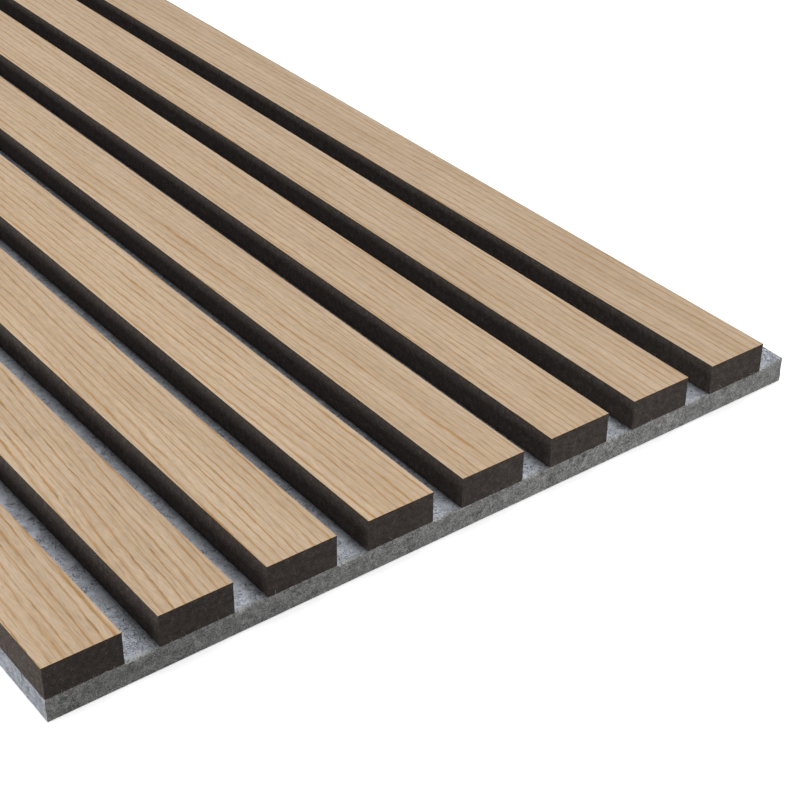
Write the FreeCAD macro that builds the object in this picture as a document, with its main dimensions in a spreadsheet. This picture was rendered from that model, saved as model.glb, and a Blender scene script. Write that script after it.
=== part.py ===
import FreeCAD, Part
import os
from enum import IntEnum, auto

import Sketcher

# Acoustic slat wall panel: a felt backing board that carries a row of veneered fibreboard slats, with
# crown staples driven from behind to hold each slat to the felt. All sizes are in millimetres.
# The felt's back lies on z = 0 with its middle at the origin. +X runs across the slats, +Y along them
# and +Z out of the wall, so the panel lies on its back as it would on a bench.

# Driving dimensions: name, value and what it measures.
DRIVING_SIZES = [
    ("panel_length", 2400.0, "length of the felt and of every slat"),
    ("slat_count", 8, "number of slats side by side"),
    ("slat_width", 27.5, "width of one slat"),
    ("slat_gap", 12.5, "clear gap between slats, also the felt's tongue beside the last slat"),
    ("felt_thickness", 9.0, "pressed felt board"),
    ("core_thickness", 12.0, "fibreboard core of a slat"),
    ("veneer_thickness", 0.5, "wood face glued to the core"),
    ("veneer_edge_radius", 0.3, "sanded long edges of the wood face"),
    ("staple_rows", 9, "staples along each slat"),
    ("staple_end_margin", 40.0, "middle of the first staple from the panel's end"),
    ("staple_crown", 10.0, "outside width of a staple, laid along the slat"),
    ("staple_wire_width", 1.2, "flat wire, across the slat"),
    ("staple_wire_thickness", 0.6, "flat wire, the thin way"),
    ("staple_sink", 0.3, "how far the crown is pressed below the felt's back"),
    ("staple_tip_cover", 5.0, "core left whole above the staple's tips"),
    ("staple_point", 0.8, "height of the slanted cut at the tips"),
]

# Sizes that several pieces share, written once as formulas on the sheet's cells.
SLAT_PITCH = "(Sizes.slat_width + Sizes.slat_gap)"
FELT_WIDTH = f"(Sizes.slat_count * {SLAT_PITCH})"
FIRST_SLAT_X = f"(Sizes.slat_width / 2 - {FELT_WIDTH} / 2)"
CORE_TOP = "(Sizes.felt_thickness + Sizes.core_thickness)"
CROWN_INSIDE = "(Sizes.staple_sink + Sizes.staple_wire_thickness)"
STAPLE_TIP = f"({CORE_TOP} - Sizes.staple_tip_cover)"
# The sanded edge never takes the whole of a thinner wood face.
VENEER_EASE = "min(Sizes.veneer_edge_radius; 0.9 * Sizes.veneer_thickness)"

ORIGIN = -1  # the sketch's own origin and axes, as constraints name them
VERTICAL_AXIS = -2


class LineEnd(IntEnum):
    """Which end of a sketch line a constraint means, counted as sketches count them."""

    START = auto()
    FINISH = auto()


def make_sheet(doc):
    """Put the driving dimensions into a sheet, one aliased cell each."""
    sheet = doc.addObject("Spreadsheet::Sheet", "Sizes")
    for row, (alias, value, meaning) in enumerate(DRIVING_SIZES, start=1):
        sheet.set(f"A{row}", meaning)
        sheet.set(f"B{row}", str(value))
        sheet.setAlias(f"B{row}", alias)
    doc.recompute()
    return sheet


def place(obj, x="0", y="0", z="0"):
    """Tie an object's place to formulas."""
    for axis, formula in (("x", x), ("y", y), ("z", z)):
        obj.setExpression(f".Placement.Base.{axis}", formula)


def new_sketch(body, role, name):
    """Start a sketch on one of the body's own origin planes."""
    plane = next(f for f in body.Origin.OriginFeatures if f.Role == role)
    sketch = body.newObject("Sketcher::SketchObject", name)
    sketch.AttachmentSupport = [(plane, "")]
    sketch.MapMode = "FlatFace"
    return sketch


def origin_axis(body, role):
    """Find one of the body's own origin axes, as a pattern wants it."""
    return (next(f for f in body.Origin.OriginFeatures if f.Role == role), [""])


def draw_outline(sketch, points):
    """Draw a closed outline of straight lines whose ends are joined."""
    corners = [FreeCAD.Vector(u, v, 0) for u, v in points]
    for index, corner in enumerate(corners):
        sketch.addGeometry(Part.LineSegment(corner, corners[(index + 1) % len(corners)]), False)
    for index in range(len(corners)):
        following = (index + 1) % len(corners)
        joint = Sketcher.Constraint("Coincident", index, LineEnd.FINISH, following, LineEnd.START)
        sketch.addConstraint(joint)


def dimension(sketch, kind, first, second, formula):
    """Set the distance between the starts of two lines, or from the origin, by a formula."""
    value = sketch.evalExpression(formula)
    distance = Sketcher.Constraint(kind, first, LineEnd.START, second, LineEnd.START, value)
    index = sketch.addConstraint(distance)
    sketch.setExpression(f"Constraints[{index}]", formula)


def add_pad(body, sketch, formula, side="One side"):
    """Thicken a sketch by a formula, to one side or to both."""
    pad = body.newObject("PartDesign::Pad", body.Name + "_pad")
    pad.Profile = sketch
    pad.SideType = side
    pad.setExpression("Length", formula)
    body.Tip = pad
    return pad


def make_board(doc, name, width, thickness):
    """A flat board of the panel's whole length, centred on the origin, with its underside on z = 0."""
    body = doc.addObject("PartDesign::Body", name)
    sketch = new_sketch(body, "XY_Plane", name + "_plan")
    half_width = sketch.evalExpression(f"{width} / 2")
    half_length = sketch.evalExpression("Sizes.panel_length / 2")
    draw_outline(
        sketch,
        [
            (-half_width, -half_length),
            (half_width, -half_length),
            (half_width, half_length),
            (-half_width, half_length),
        ],
    )
    for line, direction in enumerate(("Horizontal", "Vertical", "Horizontal", "Vertical")):
        sketch.addConstraint(Sketcher.Constraint(direction, line))
    corner = LineEnd.START
    sketch.addConstraint(Sketcher.Constraint("Symmetric", 0, corner, 2, corner, ORIGIN, corner))
    dimension(sketch, "DistanceX", 0, 1, width)
    dimension(sketch, "DistanceY", 1, 2, "Sizes.panel_length")
    add_pad(body, sketch, thickness)
    return body


def make_staples(doc, name, crown_depth):
    """The whole field of staples, one row to a slat.

    The bent wire is drawn once, seen from the side with its crown at the bottom, and repeated along
    the slat and from slat to slat. crown_depth is how deep the crown is, downwards from its inside.
    """
    body = doc.addObject("PartDesign::Body", name)
    sketch = new_sketch(body, "YZ_Plane", name + "_wire")
    value = sketch.evalExpression
    outer = value("Sizes.staple_crown / 2")
    inner = outer - value("Sizes.staple_wire_thickness")
    crown_inside = value(CROWN_INSIDE)
    crown_face = crown_inside - value(crown_depth)
    tip = value(STAPLE_TIP)
    shoulder = tip - value("Sizes.staple_point")
    draw_outline(
        sketch,
        [
            (-outer, crown_face),
            (outer, crown_face),
            (outer, tip),
            (inner, shoulder),
            (inner, crown_inside),
            (-inner, crown_inside),
            (-inner, shoulder),
            (-outer, tip),
        ],
    )
    for left, right in ((0, 1), (7, 2), (6, 3), (5, 4)):
        mirror = Sketcher.Constraint("Symmetric", left, LineEnd.START, right, LineEnd.START, VERTICAL_AXIS)
        sketch.addConstraint(mirror)
    for upright in (1, 3):
        sketch.addConstraint(Sketcher.Constraint("Vertical", upright))
    dimension(sketch, "DistanceX", 0, 1, "Sizes.staple_crown")
    dimension(sketch, "DistanceX", 3, 2, "Sizes.staple_wire_thickness")
    dimension(sketch, "DistanceY", ORIGIN, 4, CROWN_INSIDE)
    dimension(sketch, "DistanceY", 1, 4, crown_depth)
    dimension(sketch, "DistanceY", ORIGIN, 2, STAPLE_TIP)
    dimension(sketch, "DistanceY", 3, 2, "Sizes.staple_point")
    pad = add_pad(body, sketch, "Sizes.staple_wire_width", side="Symmetric")

    field = body.newObject("PartDesign::LinearPattern", name + "_field")
    field.Originals = [pad]
    field.Direction = origin_axis(body, "X_Axis")
    field.setExpression("Length", f"{SLAT_PITCH} * (Sizes.slat_count - 1)")
    field.setExpression("Occurrences", "Sizes.slat_count")
    field.Direction2 = origin_axis(body, "Y_Axis")
    field.setExpression("Length2", "Sizes.panel_length - 2 * Sizes.staple_end_margin")
    field.setExpression("Occurrences2", "Sizes.staple_rows")
    body.Tip = field
    place(body, x=FIRST_SLAT_X, y="Sizes.staple_end_margin - Sizes.panel_length / 2")
    return body


def seat_staples(doc, label, board, seats):
    """Cut the staples' seats out of a board."""
    cut = doc.addObject("Part::Cut", label)
    cut.Base = board
    cut.Tool = seats
    return cut


def make_veneer(doc, name):
    """The wood face of a slat, with its two long upper edges eased."""
    body = make_board(doc, name, "Sizes.slat_width", "Sizes.veneer_thickness")
    doc.recompute()
    pad = body.Tip
    top = pad.Shape.BoundBox.ZMax
    long_edges = []
    for number, edge in enumerate(pad.Shape.Edges, start=1):
        box = edge.BoundBox
        if abs(box.ZMin - top) < 1e-6 and box.XLength < 1e-6:
            long_edges.append(f"Edge{number}")
    ease = body.newObject("PartDesign::Fillet", name + "_ease")
    ease.Base = (pad, long_edges)
    ease.setExpression("Radius", VENEER_EASE)
    body.Tip = ease
    return body


def build_panel(doc):
    """Build every piece and return each with the number of solids that it has to hold."""
    sheet = make_sheet(doc)
    slat_count = int(sheet.get("slat_count"))
    staple_rows = int(sheet.get("staple_rows"))

    staples = make_staples(doc, "staples", "Sizes.staple_wire_thickness")
    # The seats run on below the felt's back, because the crowns are pressed in from there.
    seats = make_staples(doc, "staple_seats", f"({CROWN_INSIDE} + Sizes.staple_sink)")

    felt_board = make_board(doc, "felt_board", FELT_WIDTH, "Sizes.felt_thickness")
    felt = seat_staples(doc, "felt_backing", felt_board, seats)
    pieces = [(staples, slat_count * staple_rows), (felt, 1)]

    for index in range(slat_count):
        slat_x = f"{FIRST_SLAT_X} + {index} * {SLAT_PITCH}"
        core_board = make_board(doc, f"core_board_{index + 1}", "Sizes.slat_width", "Sizes.core_thickness")
        place(core_board, x=slat_x, z="Sizes.felt_thickness")
        core = seat_staples(doc, f"slat_core_{index + 1}", core_board, seats)
        veneer = make_veneer(doc, f"oak_veneer_{index + 1}")
        place(veneer, x=slat_x, z=CORE_TOP)
        pieces += [(core, 1), (veneer, 1)]
    doc.recompute()
    return pieces


def check_panel(doc, pieces):
    """Stop if anything failed to build or a piece isn't the solids that it should be."""
    for obj in doc.Objects:
        if "Invalid" in obj.State or "Error" in obj.State:
            raise RuntimeError(f"{obj.Label} failed: {obj.State}")
    for piece, solids in pieces:
        shape = piece.Shape
        if shape.isNull() or not shape.isValid():
            raise RuntimeError(f"{piece.Label} has no valid shape")
        if len(shape.Solids) != solids:
            raise RuntimeError(f"{piece.Label} has {len(shape.Solids)} solids and not {solids}")


document = FreeCAD.newDocument("AcousticSlatPanel")
panel_pieces = build_panel(document)
check_panel(document, panel_pieces)
os.makedirs("parts", exist_ok=True)
for panel_piece, _ in panel_pieces:
    panel_piece.Shape.exportStep(f"parts/{panel_piece.Label}.step")
    print(panel_piece.Label, round(panel_piece.Shape.Volume, 3))
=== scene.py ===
import logging
import math
import random
from collections.abc import Callable, Iterable, Iterator
from contextlib import contextmanager
from dataclasses import dataclass
from enum import Enum, IntEnum
from functools import partial

import bmesh
import bpy
import numpy as np
from mathutils import Matrix, Vector


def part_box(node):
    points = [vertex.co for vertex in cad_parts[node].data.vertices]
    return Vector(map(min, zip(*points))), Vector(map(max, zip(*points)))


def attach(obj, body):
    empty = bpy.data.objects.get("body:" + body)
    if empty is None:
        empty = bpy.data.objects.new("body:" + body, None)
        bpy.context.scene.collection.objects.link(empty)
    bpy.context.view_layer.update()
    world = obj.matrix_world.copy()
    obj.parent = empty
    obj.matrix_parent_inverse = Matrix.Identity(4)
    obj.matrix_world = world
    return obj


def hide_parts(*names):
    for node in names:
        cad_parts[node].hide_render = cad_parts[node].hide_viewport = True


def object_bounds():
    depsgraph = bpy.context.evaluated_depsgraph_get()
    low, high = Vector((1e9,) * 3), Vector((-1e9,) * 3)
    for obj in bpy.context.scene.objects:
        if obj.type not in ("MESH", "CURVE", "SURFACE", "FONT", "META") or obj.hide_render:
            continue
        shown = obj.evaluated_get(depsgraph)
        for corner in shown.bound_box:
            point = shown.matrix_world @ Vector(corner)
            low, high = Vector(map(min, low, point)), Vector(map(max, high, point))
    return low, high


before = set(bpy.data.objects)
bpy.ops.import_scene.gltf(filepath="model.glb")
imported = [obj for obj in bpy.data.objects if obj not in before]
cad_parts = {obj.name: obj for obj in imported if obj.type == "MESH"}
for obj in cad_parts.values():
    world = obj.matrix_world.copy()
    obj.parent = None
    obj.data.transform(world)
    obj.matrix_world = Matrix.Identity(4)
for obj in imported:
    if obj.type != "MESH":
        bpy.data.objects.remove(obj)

CAD_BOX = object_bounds()
LOG = logging.getLogger("slat_panel")

MM = 0.001  # metres in a millimetre
TOLERANCE = 0.01 * MM  # places nearer than this count as the same
ALONG = 0.999  # the part of a direction along an axis above which it runs along it
SLANTED = 0.2  # the part of a normal along each of two axes above which a face lies between them
SMOOTH_ANGLE = math.radians(35)  # faces that meet at less than this are shaded as one
BAKE_MAP = "OFBake"  # the map that the colours are baked through
MAP_MARGIN = 0.02  # share of a strip on that map that stays free along its edges
COVERED_SHARE = 0.03  # share of its width that a covered stretch of a top keeps on that map
BODY = "root"

Point = tuple[float, float, float]
Setting = float | int | bool | str | tuple
Inputs = dict[str, object] | tuple[object, ...]

# A MapRange node is given a pattern, the two levels of it that count and, where they don't become 0 and 1,
# what they become. A pattern's levels lie between 0 and 1, most of them near the middle.
SMOOTH = {"interpolation_type": "SMOOTHSTEP"}  # a range whose ends ease in and out
COLOURS = {"data_type": "RGBA"}  # a mix of two colours


class Axis(IntEnum):
    """The directions of the frame: across the slats, along them and out of the wall."""

    X = 0
    Y = 1
    Z = 2


class Element(Enum):
    """What is selected in edit mode, as Blender calls it."""

    VERTEX = "VERT"
    EDGE = "EDGE"
    FACE = "FACE"


class Side(IntEnum):
    """The sides of a board that lies flat with its length along Y."""

    LEFT = 0
    TOP = 1
    RIGHT = 2
    UNDER = 3
    FRONT = 4
    FAR = 5


def linear(colour: str) -> tuple[float, float, float, float]:
    """Turn an sRGB hex colour into linear light.

    Args:
        colour: six hex digits with a leading hash.

    Returns:
        Linear red, green, blue and a full alpha.
    """
    channels = [int(colour[i:i + 2], 16) / 255 for i in (1, 3, 5)]
    bright = [c / 12.92 if c <= 0.04045 else ((c + 0.055) / 1.055) ** 2.4 for c in channels]
    return (*bright, 1.0)


def add_node(
    tree: bpy.types.NodeTree, kind: str, inputs: Inputs = (), **settings: Setting
) -> bpy.types.Node:
    """Add a node with its settings, values and links.

    Args:
        tree: the material's or the world's nodes.
        kind: the node's type, without its common prefix.
        inputs: what goes into the inputs in use, in their order or by their names: a value, a socket, or a
            node whose first output is taken.
        **settings: the node's own properties.

    Returns:
        The new node.
    """
    node = tree.nodes.new("ShaderNode" + kind)
    for name, value in settings.items():
        setattr(node, name, value)
    used = [socket for socket in node.inputs if socket.enabled]
    named = {socket.name: socket for socket in reversed(used)}
    for key, value in inputs.items() if isinstance(inputs, dict) else enumerate(inputs):
        socket = used[key] if isinstance(key, int) else named[key]
        if isinstance(value, bpy.types.Node):
            value = next(output for output in value.outputs if output.enabled)
        if isinstance(value, bpy.types.NodeSocket):
            tree.links.new(value, socket)
        else:
            socket.default_value = value
    return node


def millimetres(tree: bpy.types.NodeTree, offset: Point = (0.0, 0.0, 0.0)) -> bpy.types.Node:
    """Give the place on the piece in millimetres.

    Args:
        tree: the material's nodes.
        offset: added to the place, in millimetres.

    Returns:
        The node that carries the place.
    """
    place = add_node(tree, "TexCoord").outputs["Object"]
    return add_node(tree, "Mapping", {"Vector": place, "Location": offset, "Scale": (1 / MM,) * 3})


def lay_marks(
    tree: bpy.types.NodeTree,
    place: bpy.types.Node,
    size: Point,
    detail: float = 2.0,
    roughness: float = 0.5,
) -> bpy.types.Node:
    """Lay a soft random pattern whose marks have a real size.

    Args:
        tree: the material's nodes.
        place: the place on the piece in millimetres.
        size: the size of a mark along X, Y and Z in millimetres.
        detail: how many finer layers are added.
        roughness: how strong the finer layers are.

    Returns:
        The node that gives the pattern, from 0 to 1.
    """
    at = add_node(tree, "Mapping", {"Vector": place, "Scale": tuple(1 / side for side in size)})
    layers = {"Vector": at, "Scale": 1.0, "Detail": detail, "Roughness": roughness}
    return add_node(tree, "TexNoise", layers)


def close_material(
    tree: bpy.types.NodeTree,
    colour: bpy.types.Node,
    roughness: float,
    height: bpy.types.Node,
    depth: float,
    **sockets: float,
) -> None:
    """Join a colour and a height to the shader and the material's output.

    Args:
        tree: the material's nodes.
        colour: the surface's colour.
        roughness: how matt the surface is.
        height: the surface's relief, from 0 to 1.
        depth: how high the relief is, in millimetres.
        **sockets: further shader values, with underscores for the spaces in their names.
    """
    relief = add_node(tree, "Bump", {"Height": height, "Strength": 1.0, "Distance": depth * MM})
    inputs = {"Base Color": colour, "Roughness": roughness, "Normal": relief}
    inputs.update({name.replace("_", " "): value for name, value in sockets.items()})
    shader = add_node(tree, "BsdfPrincipled", inputs)
    add_node(tree, "OutputMaterial", {"Surface": shader})


def seen_directly(tree: bpy.types.NodeTree) -> bpy.types.Node:
    """Tell the rays that show the background from those that only carry light.

    Args:
        tree: the nodes of the floor or of the world.

    Returns:
        1 for the camera, a reflection or a view through glass, and 0 otherwise.
    """
    path = add_node(tree, "LightPath").outputs
    mirrored = add_node(
        tree, "Math", (path["Is Glossy Ray"], path["Is Transmission Ray"]), operation="MAXIMUM"
    )
    return add_node(tree, "Math", (path["Is Camera Ray"], mirrored), operation="MAXIMUM")


@dataclass(frozen=True)
class Finish:
    """What a surface is made of. Sizes of marks and depths of relief are in millimetres."""

    name: str

    def build(self) -> bpy.types.Material:
        """Make the material.

        Returns:
            The finished material.
        """
        material = bpy.data.materials.new(self.name)
        material.use_nodes = True
        material.node_tree.nodes.clear()
        self.paint(material.node_tree)
        return material

    def paint(self, tree: bpy.types.NodeTree) -> None:
        """Draw the finish, which each kind of finish does in its own way.

        Args:
            tree: the material's nodes, none so far.
        """
        raise NotImplementedError


@dataclass(frozen=True)
class LogCut:
    """How one slat's veneer was sliced from the log, in millimetres.

    The rings are round the pith, which runs along the slat, beside its middle and below its face. They
    widen along the log by the taper, which lets the lines drift across the slat. The tone is how light this
    leaf is beside its neighbours, and open_pores is how strongly its pores show.
    """

    pith_x: float
    pith_depth: float
    taper: float
    along: float
    ring: float
    tone: float = 1.0
    open_pores: float = 0.25


@dataclass(frozen=True)
class OakVeneer(Finish):
    """Sliced European oak veneer under a matt lacquer.

    The eye sees ragged orange-brown latewood streaks along the slat, paler wood between them, fine fibre
    and dark hairlines of open pores that gather in the streaks, a warmer, darker line along the right edge,
    and hardly any gloss.
    """

    cut: LogCut
    centre_x: float
    half_width: float
    pale: str = "#C9B195"
    tan: str = "#BEA588"
    latewood: str = "#AC7F42"
    pore: str = "#5F4224"
    # The colour of a warmer, darker line along the slat's right edge.
    long_edge: str = "#B0814F"
    # Real fibre is far finer. It is drawn coarse enough to show from a step away, and so are the pores,
    # which are really 0.1 to 0.2 mm wide.
    fibre: Point = (0.5, 6.0, 1.0)
    fibre_shades: tuple[float, float] = (0.84, 1.11)
    fibre_height: float = 0.4
    patch: Point = (8.0, 90.0, 1.0)
    streak: Point = (2.6, 30.0, 1.0)
    pore_sizes: tuple[Point, ...] = ((0.36, 9.0, 1.0), (0.44, 15.0, 1.0))
    pore_leans: tuple[float, ...] = (0.04, -0.02)
    pores_in_streak: float = 0.75
    cluster: Point = (4.0, 24.0, 1.0)
    # How much latewood shows at each part of a year's ring.
    season_levels: tuple[tuple[float, float], ...] = (
        (0.0, 0.1),
        (0.06, 0.0),
        (0.55, 0.02),
        (0.73, 0.18),
        (0.81, 0.85),
        (0.87, 1.0),
        (0.94, 0.6),
        (1.0, 0.1),
    )
    # How far good and poor years shift the rings, in years, and how quickly they follow each other.
    year_shift: float = 0.75
    year_change: float = 0.6
    # Half of this many thin lines show in a year's ring.
    thin_rate: float = 2.6
    thin_share: float = 0.42
    # How large the waves of the wandering grain are, and how far each moves it.
    sways: tuple[tuple[Point, float], ...] = (
        ((14.0, 130.0, 30.0), 3.2),
        ((4.5, 34.0, 30.0), 1.8),
        ((2.2, 10.0, 30.0), 0.7),
        ((0.9, 4.0, 30.0), 0.45),
        ((0.5, 2.0, 30.0), 0.25),
    )
    # How far from the slat's right edge the warmer, darker line starts, and how far from it the line is full.
    right_edge_line: tuple[float, float] = (0.6, 0.15)
    right_edge_share: float = 0.45
    roughness: float = 0.56
    relief: float = 0.09
    specular: float = 0.3

    def paint(self, tree: bpy.types.NodeTree) -> None:
        """Draw the streaks, the fibre, the pores and the warmer line along the right edge.

        Args:
            tree: the material's nodes.
        """
        add = partial(add_node, tree)
        place = millimetres(tree, (-self.centre_x / MM, self.cut.along, 0.0))
        axes = add("SeparateXYZ", (place,))
        across, along = axes.outputs["X"], axes.outputs["Y"]
        bent = self._bend(tree, place, across)
        grain = add("CombineXYZ", (bent, along))
        lines = self._rings(tree, grain, bent, along)
        pores = self._pores(tree, grain, lines)
        fibre = lay_marks(tree, grain, self.fibre, 3.0, 0.6)

        patched = add("MapRange", (lay_marks(tree, grain, self.patch, 1.0), 0.3, 0.7), **SMOOTH)
        ground = add("Mix", (patched, linear(self.pale), linear(self.tan)), **COLOURS)
        lined = add("Mix", (lines, ground, linear(self.latewood)), **COLOURS)
        dim, bright = (level * self.cut.tone for level in self.fibre_shades)
        shade = add("MapRange", (fibre, 0.25, 0.75, dim, bright), **SMOOTH)
        fibred = add("VectorMath", {"Vector": lined, "Scale": shade}, operation="SCALE")
        porous = add("Mix", (pores, fibred, linear(self.pore)), **COLOURS)
        # A warmer, darker line along the slat's right edge.
        start, full = (self.half_width - inset for inset in self.right_edge_line)
        rim = add("MapRange", (across, start, full, 0.0, self.right_edge_share), **SMOOTH)
        colour = add("Mix", (rim, porous, linear(self.long_edge)), **COLOURS)
        sunk = add("Math", (pores, -1.0), operation="MULTIPLY")
        height = add("Math", (fibre, self.fibre_height, sunk), operation="MULTIPLY_ADD")
        close_material(tree, colour, self.roughness, height, self.relief, Specular_IOR_Level=self.specular)

    def _bend(
        self, tree: bpy.types.NodeTree, place: bpy.types.Node, across: bpy.types.NodeSocket
    ) -> bpy.types.Node:
        """Let the grain wander from side to side, in slow and in quick waves.

        Args:
            tree: the material's nodes.
            place: the place on the slat in millimetres.
            across: its part across the slat.

        Returns:
            The place across the slat, measured along the wandering grain.
        """
        bent = across
        for size, reach in self.sways:
            wave = add_node(tree, "Math", (lay_marks(tree, place, size, 1.0), 0.5), operation="SUBTRACT")
            bent = add_node(tree, "Math", (wave, reach, bent), operation="MULTIPLY_ADD")
        return bent

    def _rings(
        self,
        tree: bpy.types.NodeTree,
        grain: bpy.types.Node,
        bent: bpy.types.Node,
        along: bpy.types.NodeSocket,
    ) -> bpy.types.Node:
        """Draw the growth rings where the slice meets them.

        Args:
            tree: the material's nodes.
            grain: the place along the wandering grain.
            bent: its part across the slat.
            along: its part along the slat.

        Returns:
            How much of the latewood's colour shows.
        """
        add = partial(add_node, tree)
        cut = self.cut
        beside = add("Math", (bent, cut.pith_x), operation="SUBTRACT")
        squared = add("Math", (beside, beside, cut.pith_depth**2), operation="MULTIPLY_ADD")
        flat = add("Math", (squared,), operation="SQRT")
        radius = add("Math", (along, cut.taper, flat), operation="MULTIPLY_ADD")
        even = add("Math", (radius, cut.ring), operation="DIVIDE")
        change = {"W": even, "Scale": self.year_change, "Detail": 1.0}
        uneven = add("TexNoise", change, noise_dimensions="1D")
        years = add("Math", (uneven, self.year_shift, even), operation="MULTIPLY_ADD")
        season = add("Math", (years,), operation="FRACT")
        profile = add("ValToRGB", (season,))
        stops = profile.color_ramp.elements
        first, *others, last = self.season_levels
        for stop, (position, level) in zip(stops, (first, last)):
            stop.position, stop.color = position, (level, level, level, 1.0)
        for position, level in others:
            stops.new(position).color = (level, level, level, 1.0)
        fade = lay_marks(tree, grain, self.streak, 2.0)
        strength = add("MapRange", (fade, 0.32, 0.62, 0.4, 1.0), **SMOOTH)
        main = add("Math", (profile, strength), operation="MULTIPLY")
        often = add("Math", (years, self.thin_rate), operation="MULTIPLY")
        thin = add("Math", (often, 1.0), operation="PINGPONG")
        thin_line = add("MapRange", (thin, 0.7, 1.0, 0.0, self.thin_share), **SMOOTH)
        where = add("MapRange", (fade, 0.4, 0.65, 1.0, 0.0), **SMOOTH)
        between = add("Math", (thin_line, where), operation="MULTIPLY")
        return add("Math", (main, between), operation="MAXIMUM")

    def _pores(
        self, tree: bpy.types.NodeTree, grain: bpy.types.Node, lines: bpy.types.Node
    ) -> bpy.types.Node:
        """Scatter the open pores in loose clusters, most of them in the streaks.

        Args:
            tree: the material's nodes.
            grain: the place along the wandering grain.
            lines: how strong the streaks are.

        Returns:
            How much of the pore's colour shows.
        """
        add = partial(add_node, tree)
        hairlines = []
        for size, lean in zip(self.pore_sizes, self.pore_leans):
            leaning = add("Mapping", {"Vector": grain, "Rotation": (0.0, 0.0, lean)})
            dash = lay_marks(tree, leaning, size, 1.0)
            hairlines.append(add("MapRange", (dash, 0.62, 0.65, 0.0, 1.0), **SMOOTH))
        both = add("Math", tuple(hairlines), operation="MAXIMUM")
        clusters = lay_marks(tree, grain, self.cluster, 1.0)
        cluster = add("MapRange", (clusters, 0.45, 0.68, 0.03, 0.3), **SMOOTH)
        near = (lines, self.pores_in_streak, cluster)
        gathered = add("Math", near, operation="MULTIPLY_ADD", use_clamp=True)
        opened = add("Math", (gathered, self.cut.open_pores), operation="MULTIPLY")
        return add("Math", (both, opened), operation="MULTIPLY")


@dataclass(frozen=True)
class StainedEdge(Finish):
    """The veneer's own cut edge, stained dark with the board under it."""

    name: str = "stained_veneer_edge"
    dark: str = "#2B2622"
    worn: str = "#4A4038"
    blotch: Point = (0.8, 3.0, 0.4)
    roughness: float = 0.75
    relief: float = 0.03
    specular: float = 0.25

    def paint(self, tree: bpy.types.NodeTree) -> None:
        """Draw worn blotches on the stain.

        Args:
            tree: the material's nodes.
        """
        blotch = lay_marks(tree, millimetres(tree), self.blotch, 3.0)
        share = add_node(tree, "MapRange", (blotch, 0.4, 0.75), **SMOOTH)
        colour = add_node(tree, "Mix", (share, linear(self.dark), linear(self.worn)), **COLOURS)
        close_material(tree, colour, self.roughness, blotch, self.relief, Specular_IOR_Level=self.specular)


@dataclass(frozen=True)
class DyedFibreboard(Finish):
    """Through-dyed medium density fibreboard, sawn and unsealed.

    The eye sees a very matt brown-black with a fine paler speckle of fibre bundles, and faint lines along
    the slat from the saw.
    """

    name: str = "dyed_fibreboard"
    dark: str = "#463F3C"
    pale: str = "#6F6761"
    fleck: str = "#897F79"
    speckle: float = 0.5
    bundle: float = 1.8
    saw_line: Point = (0.8, 40.0, 0.8)
    # How much the speckle, the bundles and the saw's lines each add to the mottle.
    shares: Point = (0.65, 0.25, 0.1)
    fleck_share: float = 0.55
    roughness: float = 0.95
    relief: float = 0.08
    specular: float = 0.05

    def paint(self, tree: bpy.types.NodeTree) -> None:
        """Draw the mottle of speckle, bundles and saw lines, and the flecks on it.

        Args:
            tree: the material's nodes.
        """
        add = partial(add_node, tree)
        place = millimetres(tree)
        fine = lay_marks(tree, place, (self.speckle,) * 3, 3.0, 0.65)
        bundles = lay_marks(tree, place, (self.bundle,) * 3, 2.0)
        lines = lay_marks(tree, place, self.saw_line, 2.0, 0.6)
        fine_share, bundle_share, line_share = self.shares
        speckled = add("Math", (fine, fine_share), operation="MULTIPLY")
        bundled = add("Math", (bundles, bundle_share, speckled), operation="MULTIPLY_ADD")
        mottle = add("Math", (lines, line_share, bundled), operation="MULTIPLY_ADD")
        paler = add("MapRange", (mottle, 0.36, 0.64), **SMOOTH)
        ground = add("Mix", (paler, linear(self.dark), linear(self.pale)), **COLOURS)
        thick = add("Math", (fine, bundles), operation="MULTIPLY")
        flecks = add("MapRange", (thick, 0.32, 0.42, 0.0, self.fleck_share), **SMOOTH)
        colour = add("Mix", (flecks, ground, linear(self.fleck)), **COLOURS)
        close_material(tree, colour, self.roughness, fine, self.relief, Specular_IOR_Level=self.specular)


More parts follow.
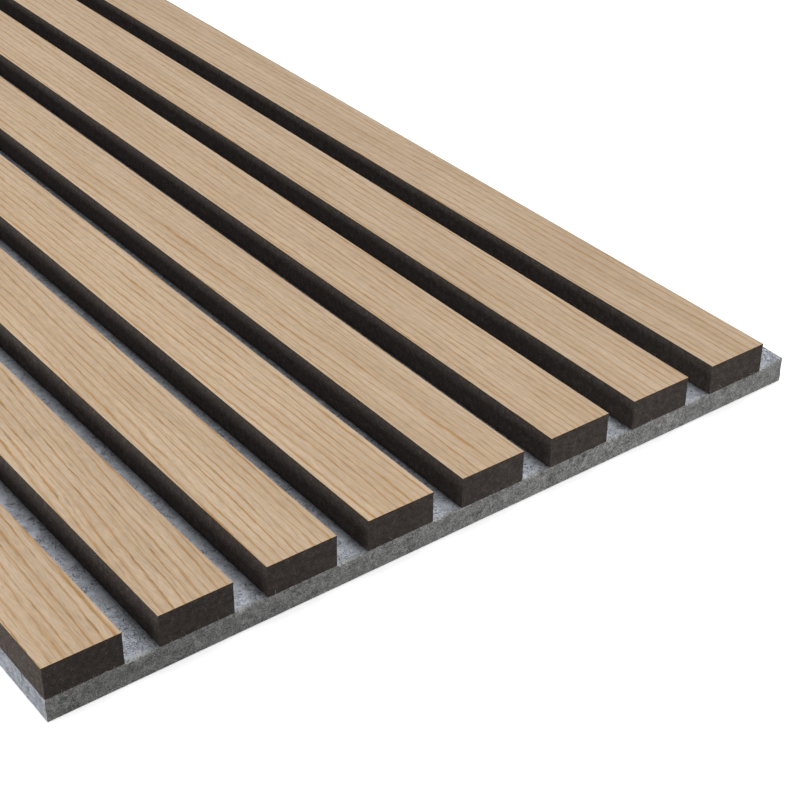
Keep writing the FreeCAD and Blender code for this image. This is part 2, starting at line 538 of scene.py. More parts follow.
@dataclass(frozen=True)
class PressedFelt(Finish):
    """Needled and hot-pressed polyester felt.

    The eye sees a grey of mixed pale and dark fibres that curl over each other, with soft cloudy patches
    and no gloss, and a little sheen at a low angle. The knife-cut ends show a speckle of fibre ends with
    fewer curls, in colours lighter and less blue than the top's: painted light for the way the ends are lit.
    """

    half_length: float
    pale: str
    mid: str
    dark: str
    crease: str = "#4A4F58"
    # The cut ends' colours, lighter and less blue than the top's: painted light for how the ends are lit.
    cut_pale_painted_light: str = "#F0EFED"
    cut_dark_painted_light: str = "#868687"
    cut_depth: float = 1.4
    cut_curl: float = 1.2
    cut_curl_strength: float = 0.3
    cut_cloud_share: float = 0.22
    fibre_end: float = 0.45
    cloud: float = 2.8
    cloud_share: float = 0.55
    fibre: float = 0.55
    curl: float = 3.0
    curl_strength: float = 0.85
    pale_curl: float = 2.1
    pale_curl_strength: float = 0.6
    curl_warp: float = 2.4
    # A curl is drawn where its pattern is this near to its middle level, and each layer of curls uses another
    # part of the pattern, this far along.
    curl_band: float = 0.036
    layer_step: float = 40.0
    roughness: float = 0.97
    relief: float = 0.2
    specular: float = 0.05
    sheen: float = 0.06
    sheen_roughness: float = 0.5

    def paint(self, tree: bpy.types.NodeTree) -> None:
        """Draw the clouds and the curls, and where the felt is cut, the fibre ends in lighter, less blue
        colours that are painted light.

        Args:
            tree: the material's nodes.
        """
        add = partial(add_node, tree)
        place = millimetres(tree)
        clouds = lay_marks(tree, place, (self.cloud,) * 3, 3.0, 0.6)
        fine = lay_marks(tree, place, (self.fibre,) * 3, 2.0, 0.7)
        dark_curls = self._curls(tree, place, self.curl, 0)
        pale_curls = self._curls(tree, place, self.pale_curl, 1)
        along = add("SeparateXYZ", (place,)).outputs["Y"]
        from_middle = add("Math", (along,), operation="ABSOLUTE")
        # Within cut_depth of either end the colour turns to the cut ends' colour, which carries painted
        # light.
        cut = add("MapRange", (from_middle, self.half_length - self.cut_depth, self.half_length), **SMOOTH)

        cloudy = add("Math", (clouds, self.cloud_share), operation="MULTIPLY")
        mottle = add("Math", (fine, 1 - self.cloud_share, cloudy), operation="MULTIPLY_ADD")
        lighter = add("MapRange", (mottle, 0.27, 0.49), **SMOOTH)
        lower = add("Mix", (lighter, linear(self.dark), linear(self.mid)), **COLOURS)
        lightest = add("MapRange", (mottle, 0.53, 0.72), **SMOOTH)
        ground = add("Mix", (lightest, lower, linear(self.pale)), **COLOURS)
        pale_share = add("Math", (pale_curls, self.pale_curl_strength), operation="MULTIPLY")
        with_pale = add("Mix", (pale_share, ground, linear(self.pale)), **COLOURS)
        dark_share = add("Math", (dark_curls, self.curl_strength), operation="MULTIPLY")
        with_dark = add("Mix", (dark_share, with_pale, linear(self.crease)), **COLOURS)
        colour = add("Mix", (cut, with_dark, self._fibre_ends_painted_light(tree, place, clouds)), **COLOURS)
        raised = add("Math", (fine, pale_curls), operation="ADD")
        height = add("Math", (raised, dark_curls), operation="SUBTRACT")
        close_material(
            tree,
            colour,
            self.roughness,
            height,
            self.relief,
            Specular_IOR_Level=self.specular,
            Sheen_Weight=self.sheen,
            Sheen_Roughness=self.sheen_roughness,
        )

    def _fibre_ends_painted_light(
        self, tree: bpy.types.NodeTree, place: bpy.types.Node, clouds: bpy.types.Node
    ) -> bpy.types.Node:
        """Colour the knife-cut ends: a fine speckle of fibre ends, with short curls between them, in lighter
        and less blue colours that are painted light.

        Args:
            tree: the material's nodes.
            place: the place on the felt in millimetres.
            clouds: the soft patches of the whole board.

        Returns:
            The colour of a cut end, painted light included.
        """
        add = partial(add_node, tree)
        ends = lay_marks(tree, place, (self.fibre_end,) * 3, 3.0, 0.75)
        clouded = add("Math", (clouds, self.cut_cloud_share), operation="MULTIPLY")
        speckled = add("Math", (ends, 1 - self.cut_cloud_share, clouded), operation="MULTIPLY_ADD")
        share = add("MapRange", (speckled, 0.36, 0.62), **SMOOTH)
        ground = add("Mix", (share, linear(self.cut_dark_painted_light), linear(self.cut_pale_painted_light)), **COLOURS)
        curls = self._curls(tree, place, self.cut_curl, 2)
        curled = add("Math", (curls, self.cut_curl_strength), operation="MULTIPLY")
        return add("Mix", (curled, ground, linear(self.cut_dark_painted_light)), **COLOURS)

    def _curls(
        self, tree: bpy.types.NodeTree, place: bpy.types.Node, size: float, layer: int
    ) -> bpy.types.Node:
        """Draw curly fibres as thin level lines of a warped pattern.

        Args:
            tree: the material's nodes.
            place: the place on the felt in millimetres.
            size: the size of a curl in millimetres.
            layer: which layer of curls it is, counted from 0.

        Returns:
            1 on a fibre and 0 beside it.
        """
        add = partial(add_node, tree)
        moved = add("Mapping", {"Vector": place, "Location": (layer * self.layer_step,) * 3})
        pattern = {"Vector": moved, "Scale": 1 / size, "Detail": 2.0, "Distortion": self.curl_warp}
        warped = add("TexNoise", pattern)
        off_line = add("Math", (warped, 0.5), operation="SUBTRACT")
        distance = add("Math", (off_line,), operation="ABSOLUTE")
        line = add("MapRange", (distance, 0.0, self.curl_band, 1.0, 0.0), **SMOOTH)
        breaks = add("MapRange", (lay_marks(tree, moved, (size * 1.3,) * 3, 1.0), 0.34, 0.52), **SMOOTH)
        return add("Math", (line, breaks), operation="MULTIPLY")


@dataclass(frozen=True)
class GalvanisedWire(Finish):
    """Zinc-coated flat steel wire: grey, softly bright, with a faint cloudy bloom."""

    name: str = "galvanised_wire"
    bright: str = "#B9BABA"
    bloom: str = "#8C8E8F"
    cloud: float = 1.2
    roughness: float = 0.38
    relief: float = 0.01

    def paint(self, tree: bpy.types.NodeTree) -> None:
        """Draw the bloom on the zinc.

        Args:
            tree: the material's nodes.
        """
        cloud = lay_marks(tree, millimetres(tree), (self.cloud,) * 3, 3.0)
        share = add_node(tree, "MapRange", (cloud, 0.35, 0.65), **SMOOTH)
        colour = add_node(tree, "Mix", (share, linear(self.bright), linear(self.bloom)), **COLOURS)
        close_material(tree, colour, self.roughness, cloud, self.relief, Metallic=1.0)


@dataclass(frozen=True)
class StudioFloor(Finish):
    """A plain pale floor that reads as white and still takes the panel's shadow."""

    name: str = "pale_floor"
    seen: str = "#F4F4F4"
    bounced: str = "#5E5E5E"
    lift: float = 0.62

    def paint(self, tree: bpy.types.NodeTree) -> None:
        """Let the floor show pale and throw little light back at the panel.

        Args:
            tree: the material's nodes.
        """
        add = partial(add_node, tree)
        lit = add("BsdfDiffuse", {"Color": linear(self.seen)})
        glow = add("Emission", {"Strength": self.lift})
        white = add("AddShader", (lit, glow))
        dim = add("BsdfDiffuse", {"Color": linear(self.bounced)})
        chosen = add("MixShader", (seen_directly(tree), dim, white))
        add("OutputMaterial", {"Surface": chosen})


def start_block(name: str, low: Vector, high: Vector) -> bpy.types.Object:
    """Add a box between two corners, with its place in its mesh.

    Args:
        name: the piece's name.
        low: its lowest corner.
        high: its highest corner.

    Returns:
        The new object, selected and active.
    """
    bpy.ops.object.select_all(action="DESELECT")
    bpy.ops.mesh.primitive_cube_add(size=1.0, location=(low + high) / 2)
    block = bpy.context.active_object
    block.name = name
    block.data.name = name
    block.scale = high - low
    bpy.ops.object.transform_apply(location=True, rotation=True, scale=True)
    return block


def choose(piece: bpy.types.Object, kind: Element, wanted: Callable[[object], bool]) -> int:
    """Select some vertices, edges or faces of a piece that is in edit mode.

    Args:
        piece: the piece to work on.
        kind: what is selected.
        wanted: says whether an element is selected.

    Returns:
        How many were selected.
    """
    mesh = bmesh.from_edit_mesh(piece.data)
    elements = {Element.VERTEX: mesh.verts, Element.EDGE: mesh.edges, Element.FACE: mesh.faces}[kind]
    chosen = [element for element in elements if wanted(element)]
    for element in chosen:
        element.select = True
    mesh.select_flush_mode()
    bmesh.update_edit_mesh(piece.data)
    return len(chosen)


@contextmanager
def picked(
    piece: bpy.types.Object, kind: Element, wanted: Callable[[object], bool]
) -> Iterator[int]:
    """Hold a piece in edit mode, with only some of it selected, while it is worked on.

    Args:
        piece: the piece to work on.
        kind: what is selected.
        wanted: says whether an element is selected.

    Yields:
        How many were selected.
    """
    bpy.context.view_layer.objects.active = piece
    bpy.ops.object.mode_set(mode="EDIT")
    bpy.ops.mesh.select_mode(type=kind.value)
    bpy.ops.mesh.select_all(action="DESELECT")
    yield choose(piece, kind, wanted)
    bpy.ops.object.mode_set(mode="OBJECT")


def runs_along(edge: bmesh.types.BMEdge, axis: Axis) -> bool:
    """Say whether an edge runs along one axis."""
    span = edge.verts[1].co - edge.verts[0].co
    return abs(span[axis]) > ALONG * span.length


def cut_lengthwise(piece: bpy.types.Object, cuts: int) -> None:
    """Divide every edge that runs along Y.

    Args:
        piece: the piece to divide.
        cuts: how many cuts each edge gets.
    """
    with picked(piece, Element.EDGE, lambda edge: runs_along(edge, Axis.Y)):
        bpy.ops.mesh.subdivide(number_cuts=cuts)


def cut_across(piece: bpy.types.Object, places: Iterable[float], axis: Axis) -> None:
    """Cut a piece with flat planes square to an axis.

    Args:
        piece: the piece to cut.
        places: where each plane crosses the axis.
        axis: the axis.
    """
    normal = [0.0, 0.0, 0.0]
    normal[axis] = 1.0
    with picked(piece, Element.FACE, lambda face: True):
        for place in places:
            at = [0.0, 0.0, 0.0]
            at[axis] = place
            bpy.ops.mesh.select_all(action="SELECT")
            bpy.ops.mesh.bisect(plane_co=at, plane_no=normal)


def ease(piece: bpy.types.Object, wanted: Callable[[object], bool], radius: float, flats: int) -> None:
    """Round off chosen edges.

    Args:
        piece: the piece to work on.
        wanted: says whether an edge is rounded.
        radius: in metres.
        flats: how many flats make up each rounding.
    """
    with picked(piece, Element.EDGE, wanted):
        bpy.ops.mesh.bevel(offset=radius, segments=flats, profile=0.5, affect="EDGES")


def sides_of(mesh: bpy.types.Mesh) -> np.ndarray:
    """Tell which side of the board each face is on.

    Args:
        mesh: the board's mesh.

    Returns:
        One Side value for each face.
    """
    normals = np.empty(len(mesh.polygons) * 3)
    mesh.polygons.foreach_get("normal", normals)
    normals = normals.reshape(-1, 3)
    main = np.abs(normals).argmax(axis=1)
    positive = normals[np.arange(len(normals)), main] > 0
    pairs = np.array([[Side.LEFT, Side.RIGHT], [Side.FRONT, Side.FAR], [Side.UNDER, Side.TOP]])
    return pairs[main, positive.astype(int)]


def lay_bake_map(
    piece: bpy.types.Object, sections: int, under: float, shown: Iterable[tuple[float, float]] | None = None
) -> None:
    """Unfold a long board into short stacked strips, so that a square picture holds its fine grain.

    Args:
        piece: the board, already cut at the ends of its sections.
        sections: how many equal lengths it is folded into.
        under: the share of its width that the underside gets on the map.
        shown: the stretches across its top that aren't covered, or None if the whole top shows.
    """
    mesh = piece.data
    points = np.empty(len(mesh.vertices) * 3)
    mesh.vertices.foreach_get("co", points)
    points = points.reshape(-1, 3)
    low, high = points.min(axis=0), points.max(axis=0)
    width, length, height = high - low
    corner_vertex = np.empty(len(mesh.loops), dtype=np.int32)
    mesh.loops.foreach_get("vertex_index", corner_vertex)
    totals = np.empty(len(mesh.polygons), dtype=np.int32)
    mesh.polygons.foreach_get("loop_total", totals)
    centres = np.empty(len(mesh.polygons) * 3)
    mesh.polygons.foreach_get("center", centres)
    steps = (centres.reshape(-1, 3)[:, 1] - low[1]) / length * sections
    section = np.repeat(np.clip(steps.astype(int), 0, sections - 1), totals)
    side = np.repeat(sides_of(mesh), totals)
    corners = points[corner_vertex]
    x, y, z = (corners - low).T
    knots, spread = [low[0], high[0]], [0.0, width]
    if shown is not None:
        knots, spread = [low[0]], [0.0]
        for start, stop in shown:
            knots += [start, stop]
            begin = spread[-1] + COVERED_SHARE * (start - knots[-3])
            spread += [begin, begin + stop - start]
        knots.append(high[0])
        spread.append(spread[-1] + COVERED_SHARE * (high[0] - knots[-2]))
    top = spread[-1]
    around = np.select(
        [side == Side.LEFT, side == Side.TOP, side == Side.RIGHT],
        [z, height + np.interp(corners[:, 0], knots, spread), height + top + (height - z)],
        2 * height + top + (width - x) * under,
    )
    girth = 2 * height + top + width * under
    used = 1 - 2 * MAP_MARGIN
    u = y / length * sections - section
    v = (section + MAP_MARGIN + used * around / girth) / (sections + 1)
    # The two ends share the last strip, side by side.
    end = side >= Side.FRONT
    half = 0.5 - 2 * MAP_MARGIN
    u = np.where(end, 0.5 * (side - Side.FRONT) + MAP_MARGIN + x / width * half, u)
    v = np.where(end, (sections + MAP_MARGIN + used * z / height) / (sections + 1), v)
    layer = mesh.uv_layers.new(name=BAKE_MAP)
    layer.uv.foreach_set("vector", np.stack([u, v], axis=1).astype(np.float32).ravel())


def finish_piece(piece: bpy.types.Object, nodes: Iterable[str] = ()) -> None:
    """Hand a finished piece over: shading, the body that it rides on and what it stands for.

    Args:
        piece: the finished piece.
        nodes: the solids that it replaces.
    """
    bpy.ops.object.select_all(action="DESELECT")
    piece.select_set(True)
    bpy.context.view_layer.objects.active = piece
    bpy.ops.object.shade_smooth_by_angle(angle=SMOOTH_ANGLE)
    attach(piece, BODY)
    if nodes:
        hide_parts(*nodes)
    LOG.info("%s: %d faces", piece.name, len(piece.data.polygons))


@dataclass
class Slat:
    """One slat: a fibreboard core with an oak face glued on it."""

    number: int
    cut: LogCut
    sections: int = 9
    core_ease: float = 0.35 * MM
    core_flats: int = 2
    veneer_ease: float = 0.28 * MM
    veneer_flats: int = 3
    hidden_share: float = 0.04  # of its width is what an underside gets on the bake map

    @property
    def core_node(self) -> str:
        """The solid that the core stands for."""
        return f"slat_core_{self.number}"

    @property
    def veneer_node(self) -> str:
        """The solid that the oak face stands for."""
        return f"oak_veneer_{self.number}"

    def build(
        self, fibreboard: bpy.types.Material, wear_and_highlight: bpy.types.Material, edge: bpy.types.Material
    ) -> None:
        """Make both pieces of the slat.

        Args:
            fibreboard: the core's finish.
            wear_and_highlight: the finish of the core's broken corners.
            edge: the finish of the oak face's own edges.
        """
        self._core(fibreboard, wear_and_highlight)
        self._veneer(edge)

    def _core(self, fibreboard: bpy.types.Material, wear_and_highlight: bpy.types.Material) -> None:
        """Make the core, with its four upright corners just broken and a little lighter there: a painted
        highlight, partly rubbed wear.

        Args:
            fibreboard: its finish.
            wear_and_highlight: the finish of its broken corners.
        """
        low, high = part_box(self.core_node)
        core = start_block(f"core_{self.number}", low, high)
        cut_lengthwise(core, self.sections - 1)
        ease(core, lambda edge: runs_along(edge, Axis.Z), self.core_ease, self.core_flats)
        core.data.materials.append(fibreboard)
        core.data.materials.append(wear_and_highlight)
        for face in core.data.polygons:
            # The broken corners get a lighter fibreboard: a painted highlight along them, partly rubbed wear.
            face.material_index = int(min(abs(face.normal.x), abs(face.normal.y)) > SLANTED)
        lay_bake_map(core, self.sections, self.hidden_share)
        finish_piece(core, [self.core_node])

    def _veneer(self, edge: bpy.types.Material) -> None:
        """Make the oak face, with its long upper edges eased.

        Args:
            edge: the finish of its cut edges.
        """
        low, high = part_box(self.veneer_node)
        face = start_block(f"veneer_{self.number}", low, high)
        cut_lengthwise(face, self.sections - 1)

        def long_edge(line: bmesh.types.BMEdge) -> bool:
            """The two long upper edges."""
            outer = all(min(v.co.x - low.x, high.x - v.co.x) < TOLERANCE for v in line.verts)
            upper = all(v.co.z > (low.z + high.z) / 2 for v in line.verts)
            return outer and upper and runs_along(line, Axis.Y)

        ease(face, long_edge, self.veneer_ease, self.veneer_flats)
        middle, half = (low.x + high.x) / 2, (high.x - low.x) / 2
        oak = OakVeneer(f"oak_veneer_{self.number}", self.cut, middle, half / MM)
        face.data.materials.append(oak.build())
        face.data.materials.append(edge)
        sides = sides_of(face.data)
        face.data.polygons.foreach_set("material_index", (sides != Side.TOP).astype(np.int32))
        lay_bake_map(face, self.sections, self.hidden_share)
        finish_piece(face, [self.veneer_node])


@dataclass
class FeltBacking:
    """The felt board under the slats, with its staple dents and its loose surface fibres."""

    slats: list[tuple[float, float]]
    gap: float
    staple_rows: int = 9
    staple_width: float = 1.2 * MM
    staple_length: float = 10.0 * MM
    dent: float = 0.36 * MM
    sections: int = 4
    hidden_share: float = 0.25  # of its width is what the underside gets on the bake map
    row: float = 12.0 * MM
    nearest_row: float = 3.6 * MM  # a row that is nearer to another one is left out
    layers: tuple[float, ...] = (2.6 * MM, 5.2 * MM)
    gap_shares: tuple[float, ...] = (0.08, 0.25, 0.42, 0.58, 0.75, 0.92)
    slat_shares: tuple[float, ...] = (0.16, 0.32, 0.68, 0.84)
    edge_radius: float = 1.5 * MM
    edge_flats: int = 4
    firm_share: float = 0.2  # of the rounding is left where the edge is firm
    swell: float = 0.35 * MM
    free_lift: float = 1.5 * MM
    unevenness: float = 0.14 * MM
    uneven_reach: float = 1.8 * MM
    even_foot: float = 0.3 * MM  # the height up to which the cut edges stay even
    lumps: float = 0.12 * MM
    lump_margin: float = 0.1 * MM  # how clear of the slats the lumps stay
    seed: int = 11
    fibres: int = 3400
    # Real fibres are about 0.03 mm thick. They are drawn coarser, as the tufts of a few that the eye sees.
    fibre_radius: float = 0.07 * MM
    fibre_length: float = 5.0 * MM
    fibre_stretch: tuple[float, float] = (0.4, 1.1)
    fibre_turn: float = 1.2
    fibre_rise: tuple[float, float] = (0.1, 0.4)  # in millimetres
    fibre_sink: float = 0.1 * MM
    fibre_points: int = 6
    # A throw below each of these starts a fibre at the front end, the far end, the left or the right side.
    side_throws: tuple[float, ...] = (0.1, 0.2, 0.27, 0.34)
    lowest_root: float = 0.2  # of the felt's height is free of fibres at its foot
    gap_roots: tuple[float, float] = (0.1, 0.9)  # where in a gap's width fibres start
    swell_roots: float = 0.6  # of the swell is how high they start there

    def __post_init__(self) -> None:
        """Read the board's and the staples' corners from the frame."""
        self.low, self.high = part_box("felt_backing")
        first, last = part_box("staples")
        margin = self.staple_length / 2
        step = (last.y - first.y - 2 * margin) / (self.staple_rows - 1)
        self.staples_y = [first.y + margin + step * index for index in range(self.staple_rows)]
        self.staples_x = [(left + right) / 2 for left, right in self.slats]

    @property
    def rim(self) -> float:
        """How far the rounded rim reaches in from the edge, with a hair to spare."""
        return 1.01 * self.edge_radius

    def build(self, felt: bpy.types.Material, tufts: tuple[bpy.types.Material, ...]) -> None:
        """Make the board and its loose fibres.

        Args:
            felt: the board's finish.
            tufts: the finishes that the loose fibres take turns with.
        """
        board = self._board()
        board.data.materials.append(felt)
        gaps = [(right, right + self.gap) for _, right in self.slats]
        lay_bake_map(board, self.sections, self.hidden_share, gaps)
        finish_piece(board, ["felt_backing"])
        finish_piece(self._fuzz(tufts))

    def _board(self) -> bpy.types.Object:
        """Shape the board: soft edges, a slight swell in each gap, uneven cut faces and staple dents.

        Returns:
            The board.
        """
        board = start_block("felt_board", self.low, self.high)
        foot = self.low.z + TOLERANCE
        ease(board, lambda edge: min(v.co.z for v in edge.verts) > foot, self.edge_radius, self.edge_flats)
        cut_across(board, self._columns(), Axis.X)
        cut_across(board, self._rows(), Axis.Y)
        cut_across(board, [self.low.z + layer for layer in self.layers], Axis.Z)
        self._dent(board)
        self._firm_up(board)
        self._swell(board)
        self._roughen(board)
        return board

    def _under_slat(self, x: float) -> bool:
        """Say whether a place across the board is under a slat."""
        return any(left - TOLERANCE < x < right + TOLERANCE for left, right in self.slats)

    def _in_rim(self, vertex: bmesh.types.BMVert) -> bool:
        """Say whether a vertex is on the board's upper face or its rounded rim."""
        return vertex.co.z > self.high.z - self.rim

    def _firm_up(self, board: bpy.types.Object) -> None:
        """Draw the rounded rim out to a firm edge under the slats' ends and along both long sides.

        Args:
            board: the board.
        """
        firm, top = self.firm_share, self.high.z
        for end in (self.low.y, self.high.y):
            with picked(
                board,
                Element.VERTEX,
                lambda v: self._in_rim(v) and abs(v.co.y - end) < self.rim and self._under_slat(v.co.x),
            ):
                bpy.ops.transform.resize(value=(1.0, firm, firm), center_override=(0.0, end, top))
        for side in (self.low.x, self.high.x):
            with picked(
                board, Element.VERTEX, lambda v: self._in_rim(v) and abs(v.co.x - side) < self.rim
            ):
                bpy.ops.transform.resize(value=(firm, 1.0, firm), center_override=(side, 0.0, top))

    def _swell(self, board: bpy.types.Object) -> None:
        """Let the felt stand up a little between the slats, and more towards its free edge.

        Args:
            board: the board.
        """
        inner = self.high.x - self.rim
        for share in self.gap_shares:
            between = [right + share * self.gap for _, right in self.slats[:-1]]
            arch = 4 * share * (1 - share)  # 1 in the middle of a gap and 0 at its sides
            self._lift(board, lambda x: self._near(x, between), arch * self.swell)
            free = self.slats[-1][1] + share * self.gap
            self._lift(board, lambda x: x < inner and self._near(x, [free]), share * self.free_lift)
        self._lift(board, lambda x: x > inner, self.free_lift)

    def _lift(self, board: bpy.types.Object, wanted: Callable[[float], bool], height: float) -> None:
        """Raise the top and its rim at chosen places across the board.

        Args:
            board: the board.
            wanted: says whether a place across is raised.
            height: how far, in metres.
        """
        with picked(board, Element.VERTEX, lambda v: self._in_rim(v) and wanted(v.co.x)) as count:
            if count:
                bpy.ops.transform.translate(value=(0.0, 0.0, height))

    def _near(self, place: float, places: list[float]) -> bool:
        """Say whether a place is one of several."""
        return any(abs(place - other) < TOLERANCE for other in places)

    def _columns(self) -> list[float]:
        """Choose where the board is cut along its length: at the slats, in the gaps and beside the staples.

        Returns:
            Places across the board.
        """
        half = self.staple_width / 2
        columns = []
        for left, right in self.slats:
            columns += [left, right, (left + right) / 2 - half, (left + right) / 2 + half]
            columns += [left + share * (right - left) for share in self.slat_shares]
            columns += [right + share * self.gap for share in self.gap_shares]
        return sorted(x for x in columns if self.low.x + self.rim < x < self.high.x - self.rim)

    def _rows(self) -> list[float]:
        """Choose where the board is cut across: at the map's sections, beside the staples and between.

        Returns:
            Places along the board.
        """
        half = self.staple_length / 2
        length = self.high.y - self.low.y
        rows = [self.low.y + length * index / self.sections for index in range(1, self.sections)]
        rows += [y + side * half for y in self.staples_y for side in (-1, 1)]
        for index in range(1, round(length / self.row)):
            row = self.low.y + index * self.row
            if min(abs(row - other) for other in rows) > self.nearest_row:
                rows.append(row)
        return sorted(rows)

    def _dent(self, board: bpy.types.Object) -> None:
        """Press the staples' crowns into the underside.

        Args:
            board: the board.
        """
        def under_crown(face: bmesh.types.BMFace) -> bool:
            """Below one of the crowns."""
            at = face.calc_center_median()
            beside = min(abs(at.x - x) for x in self.staples_x) < self.staple_width / 2
            along = min(abs(at.y - y) for y in self.staples_y) < self.staple_length / 2
            return beside and along and face.normal.z < -ALONG

        with picked(board, Element.FACE, under_crown) as count:
            bpy.ops.mesh.extrude_region_move(TRANSFORM_OT_translate={"value": (0.0, 0.0, self.dent)})
        LOG.info("staple dents: %d faces", count)

    def _roughen(self, board: bpy.types.Object) -> None:
        """Leave the knife-cut edges uneven and the felt in the gaps a little lumpy.

        Args:
            board: the board.
        """
        def cut_edge(vertex: bmesh.types.BMVert) -> bool:
            """Near the outline, off the floor and not in a firm rim."""
            at = vertex.co
            margin = min(at.x - self.low.x, self.high.x - at.x, at.y - self.low.y, self.high.y - at.y)
            firm = self._in_rim(vertex) and self._under_slat(at.x)
            return margin < self.uneven_reach and at.z > self.low.z + self.even_foot and not firm

        def open_felt(vertex: bmesh.types.BMVert) -> bool:
            """On top and clear of the slats."""
            x, clear = vertex.co.x, self.lump_margin
            inside = any(right + clear < x < right + self.gap - clear for _, right in self.slats)
            return vertex.co.z > self.high.z - TOLERANCE and inside

        for wanted, offset in ((open_felt, self.lumps), (cut_edge, self.unevenness)):
            with picked(board, Element.VERTEX, wanted):
                bpy.ops.transform.vertex_random(offset=offset, uniform=1.0, normal=0.0, seed=self.seed)

    def _fuzz(self, tufts: tuple[bpy.types.Material, ...]) -> bpy.types.Object:
        """Scatter loose curled fibres along the cut edges and over the felt in the gaps.

        Args:
            tufts: the finishes that they take turns with.

        Returns:
            The fibres as one mesh.
        """
        dice = random.Random(self.seed)
        curve = bpy.data.curves.new("felt_fuzz", "CURVE")
        curve.dimensions = "3D"
        curve.bevel_depth = self.fibre_radius
        curve.bevel_resolution = 0
        for tuft in tufts:
            curve.materials.append(tuft)
        for index in range(self.fibres):
            root, out = self._root(dice)
            self._fibre(curve, dice, root, out).material_index = index % len(tufts)
        fuzz = bpy.data.objects.new("felt_fuzz", curve)
        bpy.context.scene.collection.objects.link(fuzz)
        bpy.ops.object.select_all(action="DESELECT")
        fuzz.select_set(True)
        bpy.context.view_layer.objects.active = fuzz
        bpy.ops.object.convert(target="MESH")
        return bpy.context.active_object

    def _root(self, dice: random.Random) -> tuple[Vector, Vector]:
        """Choose where a fibre starts.

        Args:
            dice: the seeded source of chance.

        Returns:
            A point on the felt and the direction that faces out there.
        """
        low, high = self.low, self.high
        along = dice.uniform(low.y, high.y)
        across = dice.uniform(low.x, high.x)
        up = dice.uniform(low.z + self.lowest_root * (high.z - low.z), high.z)
        throw = dice.random()
        sides = (
            ((across, low.y, up), (0, -1, 0)),
            ((across, high.y, up), (0, 1, 0)),
            ((low.x, along, up), (-1, 0, 0)),
            ((high.x, along, up), (1, 0, 0)),
        )
        for limit, (root, out) in zip(self.side_throws, sides):
            if throw < limit:
                return Vector(root), Vector(out)
        _, edge = dice.choice(self.slats)
        share = dice.uniform(*self.gap_roots)
        free = edge == self.slats[-1][1]
        rise = share * self.free_lift if free else self.swell_roots * self.swell
        return Vector((edge + share * self.gap, along, high.z + rise)), Vector((0, 0, 1))

    def _fibre(
        self, curve: bpy.types.Curve, dice: random.Random, root: Vector, out: Vector
    ) -> bpy.types.Spline:
        """Add one fibre that leaves the felt, curls and comes back to it.

        Args:
            curve: the curve that holds all the fibres.
            dice: the seeded source of chance.
            root: where it starts.
            out: the direction that faces out of the felt there.

        Returns:
            The new fibre.
        """
        lie = Vector([dice.gauss(0, 1) for _ in range(3)])
        lie = (lie - out * lie.dot(out)).normalized()
        turn = out.cross(lie) * dice.uniform(-self.fibre_turn, self.fibre_turn)
        length = self.fibre_length * dice.uniform(*self.fibre_stretch)
        rise = dice.uniform(*self.fibre_rise) * MM
        spline = curve.splines.new("POLY")
        spline.points.add(self.fibre_points - 1)
        for step in range(self.fibre_points):
            share = step / (self.fibre_points - 1)
            lift = rise * math.sin(math.pi * share) - self.fibre_sink
            at = root + lie * length * (share - 0.5) + turn * length * share * (1 - share) + out * lift
            at.z = max(at.z, self.low.z + self.fibre_radius)
            spline.points[step].co = (*at, 1.0)
        return spline


@dataclass(frozen=True)
class Lamp:
    """One soft lamp: a far one that only has a direction, or a bank with a size and an aim.

    The level is the share of full light that a far lamp gives to a face turned to it, or the brightness of
    a bank's own face. A bank isn't seen itself.
    """

    name: str
    place: Point
    level: float
    spread: float = 0.0
    size: tuple[float, float] = (0.0, 0.0)
    aim: Point | None = None

    def build(self) -> None:
        """Hang the lamp."""
        if self.aim is None:
            data = bpy.data.lights.new(self.name, "SUN")
            data.energy = math.pi * self.level
            data.angle = math.radians(self.spread)
            back = Vector(self.place)
        else:
            data = bpy.data.lights.new(self.name, "AREA")
            data.shape = "RECTANGLE"
            data.size, data.size_y = self.size
            data.energy = math.pi * self.level * self.size[0] * self.size[1]
            back = Vector(self.place) - Vector(self.aim)
        lamp = bpy.data.objects.new(self.name, data)
        lamp.rotation_mode = "QUATERNION"
        lamp.rotation_quaternion = back.to_track_quat("Z", "Y")
        lamp.location = self.place
        lamp.visible_camera = False
        bpy.context.scene.collection.objects.link(lamp)


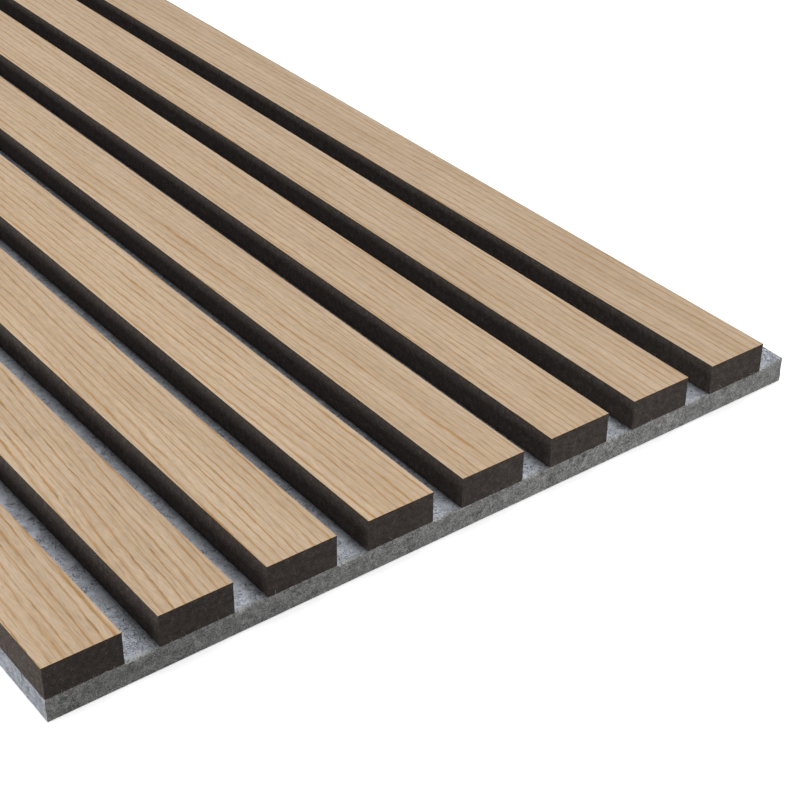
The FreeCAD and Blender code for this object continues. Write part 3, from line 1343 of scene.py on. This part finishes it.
@dataclass
class Studio:
    """The floor, the light and the camera."""

    camera_place: Point = (-0.31606, -1.57659, 0.38016)
    azimuth: float = -37.473
    elevation: float = 33.629
    roll: float = 0.619
    lens: float = 80.306
    sensor: float = 36.0
    clip: tuple[float, float] = (0.01, 100.0)
    floor_size: float = 14.0
    floor_rim: float = 2.0 * MM
    floor_drop: float = 0.02 * MM
    sky: float = 0.10
    lamps: tuple[Lamp, ...] = (
        Lamp("overhead", place=(0.30, 0.25, 0.92), level=0.765, spread=40.0),
        Lamp("left_bank", place=(-0.38, 0.17, 0.10), level=2.5, size=(2.96, 0.19), aim=(0.0, 0.17, 0.10)),
        Lamp("front_fill", place=(0.10, -1.44, 0.06), level=3.7, size=(0.24, 0.08), aim=(0.10, -1.2, 0.06)),
    )

    def build(self) -> None:
        """Set up everything round the panel."""
        self._floor()
        self._sky()
        for lamp in self.lamps:
            lamp.build()
        self._camera()
        bpy.context.scene.view_settings.view_transform = "Standard"

    def _floor(self) -> None:
        """Lay the floor, with an opening that the panel covers, so that its back shows from below."""
        middle = (0.0, 0.0, -self.floor_drop)
        bpy.ops.object.select_all(action="DESELECT")
        bpy.ops.mesh.primitive_plane_add(size=self.floor_size, location=middle)
        floor = bpy.context.active_object
        floor.name = "floor"
        low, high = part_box("felt_backing")
        width, length = high.x - low.x - 2 * self.floor_rim, high.y - low.y - 2 * self.floor_rim
        inner = self.floor_size / 2
        with picked(floor, Element.FACE, lambda face: True):
            bpy.ops.mesh.inset(thickness=(self.floor_size - inner) / 2)
            bpy.ops.transform.resize(value=(width / inner, length / inner, 1.0), center_override=middle)
            bpy.ops.mesh.delete(type="FACE")
        floor.data.materials.append(StudioFloor().build())

    def _sky(self) -> None:
        """Surround the panel with even light that shows as white."""
        world = bpy.data.worlds.new("studio")
        world.use_nodes = True
        tree = world.node_tree
        tree.nodes.clear()
        strength = add_node(tree, "MapRange", (seen_directly(tree), 0.0, 1.0, self.sky, 1.0))
        light = add_node(tree, "Background", {"Color": (1.0, 1.0, 1.0, 1.0), "Strength": strength})
        add_node(tree, "OutputWorld", {"Surface": light})
        bpy.context.scene.world = world

    def _camera(self) -> None:
        """Stand the camera where the photograph was taken from."""
        data = bpy.data.cameras.new("camera")
        data.sensor_width = self.sensor
        data.lens = self.lens
        data.clip_start, data.clip_end = self.clip
        camera = bpy.data.objects.new("camera", data)
        turn, tilt = math.radians(self.azimuth), math.radians(self.elevation)
        ahead = Vector((-math.sin(turn) * math.cos(tilt), math.cos(turn) * math.cos(tilt), -math.sin(tilt)))
        level = ahead.to_track_quat("-Z", "Y").to_matrix().to_4x4()
        rolled = level @ Matrix.Rotation(math.radians(self.roll), 4, "Z")
        camera.matrix_world = Matrix.Translation(self.camera_place) @ rolled
        bpy.context.scene.collection.objects.link(camera)
        bpy.context.scene.camera = camera


# Each slat's veneer comes from its own part of the log, well beside the pith, so its lines are nearly
# straight.
LOG_CUTS = [
    LogCut(-60.0, 20.0, -0.030, 0.0, 3.4, tone=0.94, open_pores=0.6),
    LogCut(-48.0, 16.0, -0.060, 1500.0, 3.0, tone=0.96, open_pores=0.6),
    LogCut(-54.0, 18.0, -0.030, 2900.0, 2.9, tone=1.01, open_pores=0.4),
    LogCut(66.0, 24.0, -0.008, 4300.0, 3.0, tone=1.045),
    LogCut(-72.0, 20.0, 0.010, 5900.0, 2.8, tone=1.015),
    LogCut(-70.0, 22.0, -0.010, 7300.0, 2.7, tone=1.015),
    LogCut(64.0, 26.0, 0.012, 8700.0, 2.9, tone=1.01),
    LogCut(-78.0, 24.0, 0.010, 9900.0, 3.0, tone=0.985),
]


def write_sizes() -> None:
    """Bring the view layer up to date."""
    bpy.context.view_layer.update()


def main() -> None:
    """Build the panel's visible pieces, then the studio round it."""
    logging.basicConfig(level=logging.INFO, format="%(message)s")
    slats = [Slat(number, cut) for number, cut in enumerate(LOG_CUTS, start=1)]
    boxes = [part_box(slat.core_node) for slat in slats]
    edges = [(low.x, high.x) for low, high in boxes]
    gap = edges[1][0] - edges[0][1]

    fibreboard = DyedFibreboard().build()
    # A little lighter than the rest, for the broken corners: a painted highlight, partly rubbed wear.
    wear_and_highlight = DyedFibreboard("wear_and_highlight_fibreboard", dark="#4E4642", pale="#716862", fleck="#897E78").build()
    edge = StainedEdge().build()
    for slat in slats:
        slat.build(fibreboard, wear_and_highlight, edge)

    half_length = CAD_BOX[1][1] / MM
    felt = PressedFelt("pressed_felt", half_length, pale="#DBDFE6", mid="#C8CDD6", dark="#8C919B").build()
    tufts = (
        PressedFelt("felt_tuft_dark", half_length, pale="#8A8E96", mid="#6A6E77", dark="#4A4E56").build(),
        PressedFelt("felt_tuft_pale", half_length, pale="#E2E5EA", mid="#CACED5", dark="#A4A8B0").build(),
    )
    FeltBacking(edges, gap).build(felt, tufts)

    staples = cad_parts["staples"]
    staples.data.materials.clear()
    staples.data.materials.append(GalvanisedWire().build())
    LOG.info("%s: the solids' own mesh in its finish", staples.name)

    Studio().build()
    write_sizes()


if __name__ == "__main__":
    main()
